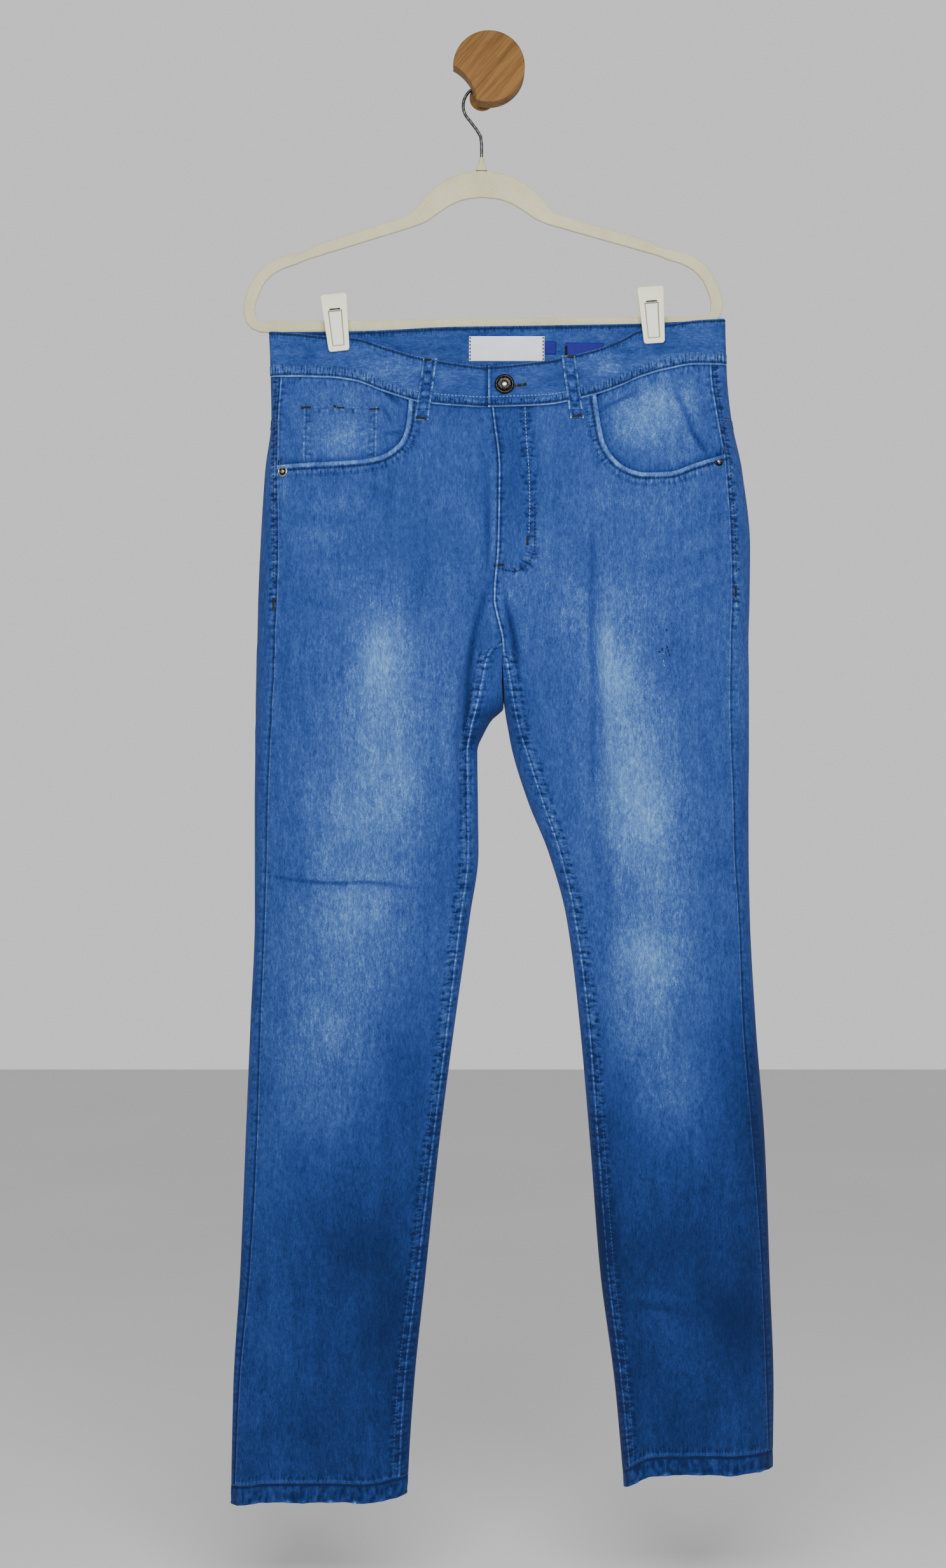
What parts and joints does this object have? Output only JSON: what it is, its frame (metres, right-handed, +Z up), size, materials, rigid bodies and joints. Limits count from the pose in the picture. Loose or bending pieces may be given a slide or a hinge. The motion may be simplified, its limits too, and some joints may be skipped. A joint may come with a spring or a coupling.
{
  "type": "slim fit jeans on clip hanger and wall hook",
  "caption": "slim fit five-pocket jeans in mid blue stretch denim, held by the waist in a flocked clip hanger that hangs from a round wooden wall hook",
  "frame": {"origin": "the middle of the peg's flat face, where the wooden hook meets the wall", "axes": "+X to the viewer's right, +Y into the wall, +Z up; the wall is the plane y = 0 and the object is in front of it"},
  "size_m": [0.5089, 0.0531, 1.3791],
  "materials": {
    "denim": "matte",
    "denim_pale": "matte",
    "label_white": "satin",
    "label_blue": "satin",
    "dark_metal": "satin",
    "wire_metal": "satin",
    "flock": "matte",
    "clip_plastic": "matte",
    "wood": "satin"
  },
  "bodies": {
    "root": {"back_left": "denim", "back_pocket_left": "denim", "back_pocket_right": "denim", "back_right": "denim", "belt_loop_back_left": "denim", "belt_loop_back_middle": "denim", "belt_loop_back_right": "denim", "belt_loop_front_left": "denim", "belt_loop_front_right": "denim", "button": "dark_metal", "clip_left_back": "clip_plastic", "clip_left_front": "clip_plastic", "clip_right_back": "clip_plastic", "clip_right_front": "clip_plastic", "coin_pocket": "denim_pale", "fly_shield": "denim", "front_left": "denim", "front_right": "denim", "hanger_collar": "flock", "hanger_frame": "flock", "hanger_hook": "wire_metal", "hem_left": "denim", "hem_right": "denim", "label_care": "label_blue", "label_main": "label_white", "label_size": "label_blue", "pocket_facing_left": "denim_pale", "pocket_facing_right": "denim_pale", "rivet_left": "dark_metal", "rivet_right": "dark_metal", "waistband": "denim", "wall_disc": "wood", "wall_peg": "wood", "yoke_left": "denim", "yoke_right": "denim"}
  },
  "joints": []
}
